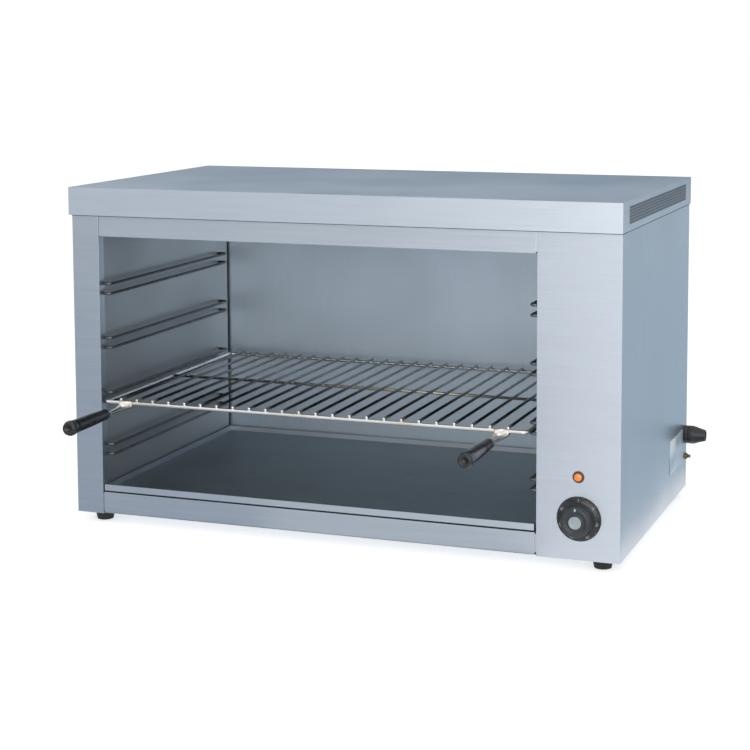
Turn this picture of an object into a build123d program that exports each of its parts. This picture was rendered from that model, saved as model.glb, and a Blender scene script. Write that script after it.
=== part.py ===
from build123d import *
import os

# Countertop electric cheese melter. Millimetres, +X to the right, +Y to the back, +Z up.
# The cabinet is drawn from its own corner: x = 0 at the cover's left face, y = 0 at the
# cover's front face, z = 0 at the underside of the cabinet. save() then moves every piece
# to the part's origin, the bottom centre of the whole object.

# ---- driving dimensions ---------------------------------------------------------------
CAB_W, CAB_D, CAB_H = 800.0, 450.0, 470.0     # cover width, cover depth, underside to top
FOOT_H = 13.0                                 # rubber foot below the cabinet
COVER_T, SHEET, TRAY_T = 1.2, 1.0, 0.8        # sheet thicknesses
SKIRT_H = 39.5                                # folded edge of the top cover
SIDE_INSET = 1.5                              # body sides and back behind the cover's skirt
FRONT_Y = 7.0                                 # body front face behind the cover's front
POST_W = 41.5                                 # front post on the left
PANEL_W = 112.5                               # control panel on the right
BODY_TOP = 436.0                              # side panels end under the vent
REAR_TOP = 444.0                              # rear panel reaches behind the cover's screws
CAVITY_X0, CAVITY_X1 = 41.5, 690.5            # inner faces of the cavity's side walls
CAVITY_Y1 = 436.0                             # inner face of the cavity's back wall
CEILING_Z = 428.0                             # underside of the reflector
WALL_Y0, WALL_Y1 = 23.0, 430.0                # front and rear edge of the cavity's side walls
FLANGE = 12.0                                 # folded edges of the panels
BASE_Z = 1.0                                  # underside of the base panel

RUNNER_Z = [85.5, 161.1, 239.7, 317.7]        # middle of each level's lower rod
RUNNER_ROD, RUNNER_BEND = 4.0, 5.0            # rod diameter and bend of a runner
RUNNER_PITCH = 14.0                           # lower rod to upper rod
RUNNER_Y0, RUNNER_Y1 = 18.0, 400.0            # front and rear leg
GUIDE_REACH = 15.0                            # wall to the free edge of a tray guide
RACK_LEVEL = 1                                # the level that holds the rack, from below

RACK_MID_X = 364.5                            # middle of the front opening
RACK_HALF = 310.0                             # middle to the side rods' centre lines
RACK_Y0, RACK_Y1, RACK_BAR_Y = -1.0, 412.0, 207.0
FRAME_ROD, WIRE_ROD = 5.0, 4.0                # rod diameters of the rack
WIRE_COUNT = 24
SLIDE_GAP = 0.3                               # rack to runner, tray to guide
HANDLE_X = 277.0                              # rack middle to each handle
GRIP_Y0, GRIP_Y1 = -60.0, -162.0              # inner and outer end of a grip
GRIP_R = 10.3

RAIL_TOP_Z, RAIL_LOW_Z = 400.5, 31.5          # underside of the upper, top of the lower rail
RAIL_GAP_LEFT, RAIL_GAP_RIGHT = 1.0, 2.2      # open joints at the rails' ends
TRAY_Z = 33.5                                 # underside of the crumb tray
TRAY_LIP_Z, TRAY_RIM_Z = 42.5, 41.5
TRAY_GAP_LEFT, TRAY_GAP_RIGHT = 1.5, 3.5

ELEMENT_Z, ELEMENT_ROD, ELEMENT_SPAN = 412.0, 8.0, 50.0
ELEMENT_Y = [105.0, 230.0, 355.0]             # middle of each hairpin
ELEMENT_X0, ELEMENT_X1 = 75.0, 713.0
BRACKET_X = [240.0, 490.0]

KNOB_X, KNOB_Z = 743.5, 55.0
THERMOSTAT_SCREW_X = [KNOB_X - 14.0, KNOB_X + 14.0]
LAMP_X, LAMP_Z = 742.5, 110.5
LAMP_BODY_R = 5.6
BEZEL_R, BEZEL_T = 30.0, 3.6
KNOB_R = 22.0
SHAFT_R = 3.0
SHAFT_FIT = 0.05                              # radial running clearance of the shaft
KNOB_FRONT_Y = -15.0
KNOB_GAP = 0.4                                # knob to scale plate

GLAND_Y, GLAND_Z = 432.0, 82.0
GLAND_BORE_R = 6.0
GLAND_THREAD_R = 9.9
GLAND_REACH = 32.0                            # beyond the side panel
STUD_Y, STUD_Z, STUD_R = 440.0, 47.0, 2.5
STUD_ROOT_R = 2.2                             # the stud inside its nuts
STUD_FREE = 4.5                               # the stud beyond its outer nut
VENT_Y0, VENT_Y1, VENT_Z0, VENT_Z1 = 36.0, 413.0, 439.0, 462.5
FOOT_X = [33.0, CAB_W - 29.5]
FOOT_Y = [30.0, 420.0]
FOOT_TOP_R, FOOT_BOTTOM_R = 14.5, 11.5
SCREW_R, FOOT_SCREW_R = 1.9, 2.4
SCREW_HEAD = 1.3                              # height of the low screw heads
COVER_SCREW_X, COVER_SCREW_Z = [90.0, 400.0, 710.0], 438.0

# ---- worked-out places ------------------------------------------------------------------
SIDE_X0, SIDE_X1 = SIDE_INSET, CAB_W - SIDE_INSET
BACK_Y = CAB_D - SIDE_INSET                   # outer face of the rear panel
REAR_Y = BACK_Y - SHEET                       # where the side panels end
POST_X = SIDE_X0 + POST_W                     # inner edge of the post
PANEL_X = SIDE_X1 - PANEL_W                   # inner edge of the control panel
GLAND_END_X = SIDE_X1 + GLAND_REACH
RUNNER_X0, RUNNER_X1 = RACK_MID_X - RACK_HALF, RACK_MID_X + RACK_HALF
RACK_Z = RUNNER_Z[RACK_LEVEL] + RUNNER_ROD / 2 + SLIDE_GAP + FRAME_ROD / 2
WELD = 0.1                                    # how far welded rods sink into each other
WIRE_Z = RACK_Z + FRAME_ROD / 2 + WIRE_ROD / 2 - WELD
HANDLE_Z = RACK_Z - FRAME_ROD / 2 - WIRE_ROD / 2 + WELD

SHIFT_X = -GLAND_END_X / 2
SHIFT_Y = -(GRIP_Y1 + CAB_D + SCREW_HEAD) / 2
SHIFT_Z = FOOT_H

X_AXIS, Y_AXIS, Z_AXIS = (1, 0, 0), (0, 1, 0), (0, 0, 1)


# ---- helpers ----------------------------------------------------------------------------
def box(x0, x1, y0, y1, z0, z1):
    """A block between two corners."""
    size = Box(x1 - x0, y1 - y0, z1 - z0)
    return Pos((x0 + x1) / 2, (y0 + y1) / 2, (z0 + z1) / 2) * size


def rod(start, along, length, radius):
    """A round bar from start in the direction along."""
    return Solid.make_cylinder(radius, length, Plane(origin=start, z_dir=along))


def cone(start, along, length, r_start, r_end):
    """A tapered bar from start in the direction along."""
    return Solid.make_cone(r_start, r_end, length, Plane(origin=start, z_dir=along))


def hexagon(start, along, length, across):
    """A hexagonal prism, across flats, from start in the direction along."""
    face = Plane(origin=start, z_dir=along) * RegularPolygon(across / 2, 6, major_radius=False)
    return extrude(face, amount=length, dir=along)


def bent_rod(points, radius, bend, closed=False):
    """A round bar along a line with rounded corners."""
    path = FilletPolyline(*points, radius=bend, close=closed)
    section = Plane(origin=path @ 0, z_dir=path % 0) * Circle(radius)
    return sweep(section, path=path)


def save(name, *pieces):
    """Moves the pieces to the part's origin and writes them as one node."""
    solids = [s for p in pieces for s in p.solids()]
    moved = [s.moved(Location((SHIFT_X, SHIFT_Y, SHIFT_Z))) for s in solids]
    whole = moved[0] if len(moved) == 1 else Compound(children=moved)
    whole.label = name
    export_step(whole, f"parts/{name}.step")


# ---- casing -----------------------------------------------------------------------------
def top_cover():
    """Folded lid with a skirt on all four sides and a window for the vent grille."""
    low = CAB_H - SKIRT_H
    lid = box(0, CAB_W, 0, CAB_D, low, CAB_H)
    lid -= box(COVER_T, CAB_W - COVER_T, COVER_T, CAB_D - COVER_T, low - 1, CAB_H - COVER_T)
    lid -= box(CAB_W - 2 * COVER_T, CAB_W + 1, VENT_Y0, VENT_Y1, VENT_Z0, VENT_Z1)
    for x in COVER_SCREW_X:
        lid -= rod((x, CAB_D - 5, COVER_SCREW_Z), Y_AXIS, 10, SCREW_R + 0.2)
    return lid


def vent_grille():
    """Flat perforated sheet with staggered rows of round holes."""
    pitch, row_pitch, hole_r, rows = 4.6, 3.9, 1.25, 6
    x = CAB_W - COVER_T + 0.1
    mid_z = (VENT_Z0 + VENT_Z1) / 2
    per_row = int((VENT_Y1 - VENT_Y0 - 4) / pitch)
    plane = Plane(origin=(x, 0, 0), x_dir=Y_AXIS, z_dir=X_AXIS)
    outline = Wire.make_polygon(
        [plane.from_local_coords(p) for p in (
            (VENT_Y0, VENT_Z0), (VENT_Y1, VENT_Z0), (VENT_Y1, VENT_Z1), (VENT_Y0, VENT_Z1))],
        close=True)
    holes = []
    for row in range(rows):
        z = mid_z + (row - (rows - 1) / 2) * row_pitch
        first = VENT_Y0 + 3.5 + (row % 2) * pitch / 2
        for k in range(per_row - row % 2):
            at = plane.from_local_coords((first + k * pitch, z))
            holes.append(Wire(Edge.make_circle(hole_r, Plane(origin=at, z_dir=X_AXIS))))
    return extrude(Face(outline, holes), amount=COVER_T - 0.2, dir=X_AXIS)


def side_flanges(x0, x1):
    """Folded edges along the bottom, top and rear of a side panel."""
    return (box(x0, x1, FRONT_Y + SHEET, REAR_Y, 0, SHEET)
            + box(x0, x1, FRONT_Y + SHEET, REAR_Y, BODY_TOP - SHEET, BODY_TOP)
            + box(x0, x1, REAR_Y - SHEET, REAR_Y, SHEET, BODY_TOP - SHEET))


def post_return(x0, x1):
    """Edge folded back beside the cavity's mouth."""
    return box(x0, x1, FRONT_Y + SHEET, WALL_Y0 - 1, 3.2, BODY_TOP)


def left_side_panel():
    """Left side with the front post folded from the same sheet."""
    inner = SIDE_X0 + SHEET
    panel = box(SIDE_X0, inner, FRONT_Y, REAR_Y, 0, BODY_TOP)
    panel += box(SIDE_X0, POST_X, FRONT_Y, FRONT_Y + SHEET, 0, BODY_TOP)
    panel += post_return(POST_X - SHEET, POST_X)
    panel += side_flanges(inner, inner + FLANGE)
    return panel - rear_screw_holes()


def right_side_panel():
    """Right side with the holes for the cable gland and the bonding stud."""
    inner = SIDE_X1 - SHEET
    panel = box(inner, SIDE_X1, FRONT_Y + SHEET, REAR_Y, 0, BODY_TOP)
    panel += side_flanges(inner - FLANGE, inner)
    panel -= rod((inner - 1, GLAND_Y, GLAND_Z), X_AXIS, 5, GLAND_THREAD_R + 0.15)
    panel -= rod((inner - 1, STUD_Y, STUD_Z), X_AXIS, 5, STUD_ROOT_R + 0.3)
    return panel - rear_screw_holes()


def control_panel():
    """Front sheet of the control compartment with its holes."""
    back = FRONT_Y + SHEET
    panel = box(PANEL_X, SIDE_X1, FRONT_Y, back, 0, BODY_TOP)
    panel += post_return(PANEL_X, PANEL_X + SHEET)
    panel += box(SIDE_X1 - 2.2 * SHEET, SIDE_X1 - 1.2 * SHEET, back, WALL_Y0, 3.2, BODY_TOP - 1.2)
    panel -= rod((KNOB_X, FRONT_Y - 1, KNOB_Z), Y_AXIS, 5, SHAFT_R + 2)
    panel -= rod((LAMP_X, FRONT_Y - 1, LAMP_Z), Y_AXIS, 5, LAMP_BODY_R + 0.2)
    for x in THERMOSTAT_SCREW_X:
        panel -= rod((x, FRONT_Y - 1, KNOB_Z), Y_AXIS, 5, SCREW_R + 0.2)
    return panel


def rail_ends():
    return POST_X + RAIL_GAP_LEFT, PANEL_X - RAIL_GAP_RIGHT


def front_rail(z0, z1, fold_z0, fold_z1, fold_depth):
    """Rail across the cavity's mouth, with a folded edge and end tabs."""
    front = FRONT_Y + 0.4
    back = front + SHEET
    x0, x1 = rail_ends()
    rail = box(x0, x1, front, back, z0, z1)
    rail += box(x0, x1, back, back + fold_depth, fold_z0, fold_z1)
    for a, b in ((POST_X, x0 + SHEET), (x1 - SHEET, PANEL_X)):
        rail += box(a, b, back, WALL_Y0 - 2, z0 + 2 * SHEET, z1 - 2 * SHEET)
    return rail


def upper_front_rail():
    return front_rail(RAIL_TOP_Z, BODY_TOP, RAIL_TOP_Z, RAIL_TOP_Z + SHEET, 14.0)


def lower_front_rail():
    low = 2.5
    rail = front_rail(low, RAIL_LOW_Z, RAIL_LOW_Z - SHEET, RAIL_LOW_Z, 18.0)
    back = FRONT_Y + 0.4 + SHEET
    x0, x1 = rail_ends()
    return rail + box(x0, x1, back, back + 4, low, low + SHEET)


def rear_panel():
    """Flat back with two groups of ventilation slots."""
    panel = box(SIDE_X0 + 1.1, SIDE_X1 - 1.1, REAR_Y, BACK_Y, 0, REAR_TOP)
    slot = extrude(Plane.XZ * SlotOverall(34, 5), amount=20, both=True)
    for x0 in (150.0, 738.0):
        columns = 7 if x0 < CAB_W / 2 else 1
        for i in range(columns):
            for k in range(6):
                panel -= Pos(x0 + 80 * i, BACK_Y, 330 + 14 * k) * slot
    for x in COVER_SCREW_X:
        panel -= rod((x, REAR_Y - 1, COVER_SCREW_Z), Y_AXIS, 5, SCREW_R + 0.2)
    return panel - rear_screw_holes()


def base_panel():
    """Floor of the cabinet, bored for the feet."""
    panel = box(SIDE_X0 + 1.1, SIDE_X1 - 1.1, FRONT_Y + 1.5, REAR_Y - 1.2, BASE_Z, BASE_Z + SHEET)
    for x in FOOT_X:
        for y in FOOT_Y:
            panel -= rod((x, y, -1), Z_AXIS, 5, FOOT_SCREW_R + 0.2)
    return panel


# ---- cavity -----------------------------------------------------------------------------
def cavity_wall(x, outward):
    """Side wall of the cavity; outward is the side its sheet lies on, -1 or 1."""
    def slab(a, b, z0, z1):
        return box(min(a, b), max(a, b), WALL_Y0, WALL_Y1, z0, z1)
    base = BASE_Z + SHEET
    wall = slab(x, x + outward * SHEET, base, CEILING_Z)
    wall += slab(x + outward * SHEET, x + outward * FLANGE, CEILING_Z - SHEET, CEILING_Z)
    wall += slab(x, x - outward * 12, base, base + SHEET)
    return wall


def inner_left_wall():
    return cavity_wall(CAVITY_X0, -1)


def inner_right_wall():
    """Wall between cavity and controls, bored for the heating elements."""
    wall = cavity_wall(CAVITY_X1, 1)
    for y in element_legs():
        wall -= rod((CAVITY_X1 - 1, y, ELEMENT_Z), X_AXIS, 5, ELEMENT_ROD / 2 + 0.3)
    return wall


def inner_back_wall():
    base = BASE_Z + SHEET
    x0, x1 = CAVITY_X0 - SHEET, CAVITY_X1 + SHEET
    wall = box(x0, x1, CAVITY_Y1, CAVITY_Y1 + SHEET, base, CEILING_Z)
    wall += box(x0, x1, CAVITY_Y1 + SHEET, REAR_Y - 2, CEILING_Z - SHEET, CEILING_Z)
    return wall


def reflector():
    """Ceiling sheet over the elements, with its front edge turned down."""
    sheet = box(CAVITY_X0 - FLANGE, CAVITY_X1 + FLANGE, WALL_Y0 + 2, REAR_Y - 2,
                CEILING_Z, CEILING_Z + SHEET)
    lip = box(CAVITY_X0 + 1, CAVITY_X1 - 1, WALL_Y0 + 2, WALL_Y0 + 3, CEILING_Z - 10, CEILING_Z)
    return sheet + lip


def runner(rod_x, front_x, rear_x, z):
    """Two rods of one level; each is bent outward to the front fold and to the cavity's wall."""
    rods = []
    for level in (z, z + RUNNER_PITCH):
        points = [(front_x, RUNNER_Y0, level), (rod_x, RUNNER_Y0, level),
                  (rod_x, RUNNER_Y1, level), (rear_x, RUNNER_Y1, level)]
        rods.append(bent_rod(points, RUNNER_ROD / 2, RUNNER_BEND))
    return rods


def tray_guide(wall_x, inward):
    """Angle that carries one edge of the crumb tray."""
    top = TRAY_Z - SLIDE_GAP + 0.1
    edge = wall_x + inward * GUIDE_REACH
    web = wall_x + inward * SHEET
    shelf = box(min(wall_x, edge), max(wall_x, edge), 28, 430, top - SHEET, top)
    return shelf + box(min(wall_x, web), max(wall_x, web), 28, 430, top - 14, top - SHEET)


def crumb_tray():
    """Shallow folded tray that slides out over the lower rail."""
    x0, x1 = POST_X + TRAY_GAP_LEFT, PANEL_X - TRAY_GAP_RIGHT
    y0, y1 = FRONT_Y + 1.5, 430.0
    tray = box(x0, x1, y0, y1, TRAY_Z, TRAY_LIP_Z)
    tray -= box(x0 + TRAY_T, x1 - TRAY_T, y0 + TRAY_T, y1 - TRAY_T, TRAY_Z + TRAY_T, TRAY_LIP_Z + 1)
    tray -= box(x0 - 1, x1 + 1, y0 + 6, y1 + 1, TRAY_RIM_Z, TRAY_LIP_Z + 1)
    tray += box(x0, x1, y0, y0 + 3, TRAY_LIP_Z - TRAY_T, TRAY_LIP_Z)
    return tray


# ---- rack -------------------------------------------------------------------------------
def rack_frame():
    """Closed loop of rod that slides in the runners."""
    corners = [(RUNNER_X0, RACK_Y1, RACK_Z), (RUNNER_X0, RACK_Y0, RACK_Z),
               (RUNNER_X1, RACK_Y0, RACK_Z), (RUNNER_X1, RACK_Y1, RACK_Z)]
    return bent_rod(corners, FRAME_ROD / 2, 7, closed=True)


def rack_cross_bar():
    """Middle bar between the side rods, under the wires."""
    reach = RACK_HALF - FRAME_ROD / 2
    start = (RACK_MID_X - reach, RACK_BAR_Y, RACK_Z + (FRAME_ROD - WIRE_ROD) / 2)
    return rod(start, X_AXIS, 2 * reach, WIRE_ROD / 2)


def rack_wires():
    """Parallel wires welded on top of the frame, with rounded ends."""
    pitch = 2 * RACK_HALF / (WIRE_COUNT + 1)
    y0, y1 = RACK_Y0 - 1.5, RACK_Y1 + 1.5
    wires = []
    for k in range(1, WIRE_COUNT + 1):
        x = RACK_MID_X - RACK_HALF + k * pitch
        wire = rod((x, y0, WIRE_Z), Y_AXIS, y1 - y0, WIRE_ROD / 2)
        wires.append(chamfer(wire.edges().filter_by(GeomType.CIRCLE), 0.6))
    return wires


def handle_wires(x):
    """Two wires and a lug welded to the front rod; they close up inside the grip."""
    r = WIRE_ROD / 2
    stem = None
    for side in (-1, 1):
        points = [(x + side * 8, RACK_Y0 + 4, HANDLE_Z), (x + side * 8, RACK_Y0 - 6, HANDLE_Z),
                  (x + side * 3.2, GRIP_Y0 + 8, HANDLE_Z), (x + side * 3.2, GRIP_Y0 - 60, HANDLE_Z)]
        wire = bent_rod(points, r, 12)
        stem = wire if stem is None else stem + wire
    front = RACK_Y0 - FRAME_ROD / 2
    return stem + box(x - 10, x + 10, front - 1.6, front, HANDLE_Z - r, RACK_Z + 3)


def grip(x):
    """Turned handle grip: slim at the rack, flared at the outer end, bored for its wires."""
    length = GRIP_Y0 - GRIP_Y1
    profile = [(0, 0), (6.2, 0), (7.4, 2), (7.6, 12), (8.6, 40), (9.2, length - 17),
               (8.6, length - 13), (9.4, length - 11), (GRIP_R, length - 8),
               (GRIP_R, length - 4), (GRIP_R - 1.8, length), (0, length)]
    face = make_face(Polyline(*profile, close=True))
    solid = revolve(face, Axis.Y)
    solid -= Pos(0, length - 2, 0) * rod((0, 0, 0), Y_AXIS, 4, 4.5)
    solid = Location((x, GRIP_Y0, HANDLE_Z)) * Rotation(0, 0, 180) * solid
    for side in (-1, 1):
        start = (x + side * 3.2, GRIP_Y0 + 1, HANDLE_Z)
        solid -= rod(start, (0, -1, 0), 62, WIRE_ROD / 2 + 0.05)
    return solid


# ---- heating ----------------------------------------------------------------------------
def element_legs():
    return [y + side * ELEMENT_SPAN / 2 for y in ELEMENT_Y for side in (-1, 1)]


def heating_element(y):
    """Hairpin tube heater; both ends pass into the control compartment."""
    a, b = y - ELEMENT_SPAN / 2, y + ELEMENT_SPAN / 2
    points = [(ELEMENT_X1, a, ELEMENT_Z), (ELEMENT_X0, a, ELEMENT_Z),
              (ELEMENT_X0, b, ELEMENT_Z), (ELEMENT_X1, b, ELEMENT_Z)]
    return bent_rod(points, ELEMENT_ROD / 2, ELEMENT_SPAN / 2 - 2)


def element_plates():
    """Plates that clamp the elements to the cavity wall."""
    x = CAVITY_X1 + SHEET
    plates = []
    for y in ELEMENT_Y:
        plate = box(x, x + 1.5, y - 40, y + 40, ELEMENT_Z - 11, ELEMENT_Z + 11)
        for side in (-1, 1):
            leg = (x - 1, y + side * ELEMENT_SPAN / 2, ELEMENT_Z)
            plate -= rod(leg, X_AXIS, 5, ELEMENT_ROD / 2 + 0.05)
        plates.append(plate)
    return plates


def element_brackets():
    """Hangers that hold the elements below the reflector."""
    hangers = []
    for x in BRACKET_X:
        hanger = box(x, x + SHEET, 55, 405, ELEMENT_Z - 9, CEILING_Z)
        hanger += box(x + SHEET, x + 12, 55, 405, CEILING_Z - SHEET, CEILING_Z)
        for y in element_legs():
            hanger -= rod((x - 1, y, ELEMENT_Z), X_AXIS, 4, ELEMENT_ROD / 2 + 0.2)
        hangers.append(hanger)
    return hangers


def element_insulators():
    """Ceramic beads on the cold ends."""
    beads = []
    for y in element_legs():
        bead = rod((ELEMENT_X1, y, ELEMENT_Z), X_AXIS, 8, 5.5)
        beads.append(bead - rod((ELEMENT_X1 - 1, y, ELEMENT_Z), X_AXIS, 10, 2.05))
    return beads


def element_pins():
    """Terminal pins on the cold ends."""
    return [rod((ELEMENT_X1, y, ELEMENT_Z), X_AXIS, 17, 2.0) for y in element_legs()]


# ---- controls ---------------------------------------------------------------------------
def thermostat():
    """Capillary thermostat behind the panel, bored for the knob's shaft."""
    back = FRONT_Y + SHEET
    body = box(KNOB_X - 22, KNOB_X + 22, back, back + 3, KNOB_Z - 14, KNOB_Z + 14)
    body += box(KNOB_X - 19, KNOB_X + 19, back + 3, back + 36, KNOB_Z - 21, KNOB_Z + 19)
    for x in (KNOB_X - 12, KNOB_X, KNOB_X + 12):
        body += box(x - 3, x + 3, back + 36, back + 45, KNOB_Z - 14, KNOB_Z - 13)
    body -= rod((KNOB_X, back - 1, KNOB_Z), Y_AXIS, 13, SHAFT_R + SHAFT_FIT)
    for x in THERMOSTAT_SCREW_X:
        body -= rod((x, back - 1, KNOB_Z), Y_AXIS, 9, SCREW_R + 0.05)
    return body


def capillary_bulb():
    """Sensing bulb clipped beside the cavity wall, with its capillary tube."""
    x = CAVITY_X1 + SHEET + 5
    top, front = 300.0, FRONT_Y + SHEET + 24
    bulb = rod((x, 120, top), Y_AXIS, 90, 3.0)
    points = [(KNOB_X, front, KNOB_Z + 19), (KNOB_X, front, 200), (x, front + 10, 230),
              (x, 70, top), (x, 121, top)]
    return bulb + bent_rod(points, 1.0, 14)


def screws(places, along, head_r, head, shank_r, shank):
    """Low-headed screws; each place is the middle of a head's seat."""
    made = []
    for at in places:
        back = tuple(-c for c in along)
        made.append(rod(at, back, head, head_r) + rod(at, along, shank, shank_r))
    return made


def dial_bezel():
    """Round scale plate behind the knob, hollow over the screw heads."""
    plate = cone((KNOB_X, FRONT_Y, KNOB_Z), (0, -1, 0), BEZEL_T, BEZEL_R, BEZEL_R - 1.6)
    plate -= rod((KNOB_X, FRONT_Y + 1, KNOB_Z), (0, -1, 0), 3, BEZEL_R - 9)
    return plate - rod((KNOB_X, FRONT_Y + 1, KNOB_Z), (0, -1, 0), 8, SHAFT_R + 1)


def control_knob():
    """Round knob with a skirt, a dished face and a blank cap in the dish."""
    back_y = FRONT_Y - BEZEL_T - KNOB_GAP
    depth = back_y - KNOB_FRONT_Y
    profile = [(0, 0), (KNOB_R, 0), (KNOB_R, 3), (KNOB_R - 1, 4.5), (KNOB_R - 2, depth - 1.8),
               (KNOB_R - 3.6, depth), (14, depth), (12.5, depth - 1.4), (9.5, depth - 1.4),
               (9, depth - 0.4), (0, depth - 0.4)]
    body = revolve(make_face(Polyline(*profile, close=True)), Axis.Y)
    body -= rod((0, -1, 0), Y_AXIS, 12, SHAFT_R)
    return Location((KNOB_X, back_y, KNOB_Z)) * Rotation(0, 0, 180) * body


def knob_shaft():
    """Shaft that the knob turns in the thermostat."""
    start = FRONT_Y + SHEET + 11.5
    end = FRONT_Y - BEZEL_T - KNOB_GAP - 11
    return rod((KNOB_X, start, KNOB_Z), (0, -1, 0), start - end, SHAFT_R)


def lamp_bezel():
    """Ring round the indicator lens."""
    ring = cone((LAMP_X, FRONT_Y, LAMP_Z), (0, -1, 0), 2.4, 8.0, 7.0)
    return ring - rod((LAMP_X, FRONT_Y + 1, LAMP_Z), (0, -1, 0), 6, 5.2)


def lamp_lens():
    """Domed lens of the indicator."""
    dome = Pos(LAMP_X, FRONT_Y + 4.6, LAMP_Z) * Sphere(9.2)
    return dome & rod((LAMP_X, FRONT_Y, LAMP_Z), (0, -1, 0), 9, 5.1)


def lamp_body():
    """Indicator housing behind the panel, with two tabs."""
    body = rod((LAMP_X, FRONT_Y, LAMP_Z), Y_AXIS, 24, LAMP_BODY_R)
    body += rod((LAMP_X, FRONT_Y + SHEET, LAMP_Z), Y_AXIS, 3, LAMP_BODY_R + 2)
    for side in (-1, 1):
        body += Pos(LAMP_X + side * 2.4, FRONT_Y + 27, LAMP_Z) * Box(0.8, 8, 2.8)
    return body


def terminal_block():
    """Three-way terminal block on the base panel."""
    x, y, z = 735.0, 392.0, BASE_Z + SHEET
    block = box(x - 24, x + 24, y - 12, y + 12, z, z + 10)
    block += box(x - 22, x + 22, y - 7, y + 7, z + 10, z + 20)
    for k in (-1, 0, 1):
        block -= rod((x + 14.5 * k, y, z + 13), Z_AXIS, 9, 4.0)
        block -= rod((x + 14.5 * k, y - 9, z + 14), Y_AXIS, 18, 1.9)
    return block


def internal_leads():
    """Leads between terminal block, thermostat, indicator and elements."""
    block_z, block_y = BASE_Z + SHEET + 14, 384.0
    back = FRONT_Y + SHEET + 45.5
    pin_x = ELEMENT_X1 + 17.5
    r = 1.4
    leads = [
        bent_rod([(720.5, block_y, block_z), (720.5, 340, block_z), (731.5, 120, 42),
                  (731.5, back, KNOB_Z - 13.5)], r, 25),
        bent_rod([(735, block_y, block_z), (735, 350, block_z), (760, 330, 60),
                  (770, 300, 300), (pin_x + 20, ELEMENT_Y[2] + 25, ELEMENT_Z),
                  (pin_x, ELEMENT_Y[2] + 25, ELEMENT_Z)], r, 12),
        bent_rod([(KNOB_X + 12, back, KNOB_Z - 13.5), (KNOB_X + 12, 90, 60), (KNOB_X + 25, 110, 240),
                  (pin_x + 25, ELEMENT_Y[0] - 25, ELEMENT_Z),
                  (pin_x, ELEMENT_Y[0] - 25, ELEMENT_Z)], r, 12),
    ]
    for y in (ELEMENT_Y[0] + 25, ELEMENT_Y[1] + 25):
        nxt = y + 75
        leads.append(bent_rod([(pin_x, y, ELEMENT_Z), (pin_x + 14, y, ELEMENT_Z),
                               (pin_x + 14, nxt, ELEMENT_Z), (pin_x, nxt, ELEMENT_Z)], r, 8))
    return leads


# ---- mains entry ------------------------------------------------------------------------
def gland_part(start_x, pieces):
    """Turned pieces on the gland's axis, bored through; each is (kind, length, size, size2)."""
    solid, x = None, start_x
    for kind, length, a, b in pieces:
        at = (x, GLAND_Y, GLAND_Z)
        if kind == "hex":
            made = hexagon(at, X_AXIS, length, a)
        else:
            made = cone(at, X_AXIS, length, a, b) if a != b else rod(at, X_AXIS, length, a)
        solid = made if solid is None else solid + made
        x += length
    return solid - rod((start_x - 1, GLAND_Y, GLAND_Z), X_AXIS, x - start_x + 2, GLAND_BORE_R)


def gland_body():
    inner = SIDE_X1 - SHEET - 7
    return gland_part(inner, [("rod", 8, GLAND_THREAD_R, GLAND_THREAD_R), ("hex", 6, 24, 24),
                              ("rod", 4, 9.0, 9.0)])


def gland_locknut():
    start = SIDE_X1 - SHEET - 5
    nut = hexagon((start, GLAND_Y, GLAND_Z), X_AXIS, 5, 24)
    return nut - rod((start - 1, GLAND_Y, GLAND_Z), X_AXIS, 8, GLAND_THREAD_R + 0.02)


def gland_seal():
    """Rubber sleeve that closes on the cord."""
    return gland_part(SIDE_X1 + 10, [("rod", 12, 8.4, 8.4)])


def gland_nut():
    """Domed nut that squeezes the seal."""
    start = SIDE_X1 + 6.4
    end = SIDE_X1 + GLAND_REACH
    nut = hexagon((start, GLAND_Y, GLAND_Z), X_AXIS, 9, 24)
    nut += rod((start, GLAND_Y, GLAND_Z), X_AXIS, 12, 12.6)
    nut += cone((start + 12, GLAND_Y, GLAND_Z), X_AXIS, end - start - 12, 12.0, 8.2)
    nut -= rod((start - 1, GLAND_Y, GLAND_Z), X_AXIS, 5, 9.1)
    nut -= rod((start - 1, GLAND_Y, GLAND_Z), X_AXIS, 17, 8.5)
    return nut - rod((start, GLAND_Y, GLAND_Z), X_AXIS, 40, GLAND_BORE_R)


def bonding_terminal():
    """Threaded stud for an equipotential lead, with its nuts and washer."""
    washer_t, nut_t, across, inside = 0.8, 2.4, 8.0, 12.0
    seat = SIDE_X1 + washer_t + nut_t
    stud = rod((SIDE_X1 - inside, STUD_Y, STUD_Z), X_AXIS, seat - SIDE_X1 + inside, STUD_ROOT_R)
    stud += rod((seat, STUD_Y, STUD_Z), X_AXIS, STUD_FREE, STUD_R)
    bore = rod((SIDE_X1 - 15, STUD_Y, STUD_Z), X_AXIS, 40, STUD_ROOT_R + 0.02)
    inner = hexagon((SIDE_X1 - SHEET - 4, STUD_Y, STUD_Z), X_AXIS, 4, across) - bore
    washer = rod((SIDE_X1, STUD_Y, STUD_Z), X_AXIS, washer_t, 5.2) - bore
    outer = hexagon((SIDE_X1 + washer_t, STUD_Y, STUD_Z), X_AXIS, nut_t, across) - bore
    return [stud, inner, washer, outer]


def rating_plate():
    """Blank plate on the right side."""
    return box(SIDE_X1, SIDE_X1 + 0.5, 322, 417, 43, 93)


# ---- feet and fasteners -----------------------------------------------------------------
def foot(x, y):
    """Tapered rubber foot, counterbored for its screw."""
    body = cone((x, y, -FOOT_H), Z_AXIS, FOOT_H + BASE_Z, FOOT_BOTTOM_R, FOOT_TOP_R)
    body -= rod((x, y, -FOOT_H - 1), Z_AXIS, 7, 5.6)
    return body - rod((x, y, -FOOT_H - 1), Z_AXIS, 30, FOOT_SCREW_R + 0.1)


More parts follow.
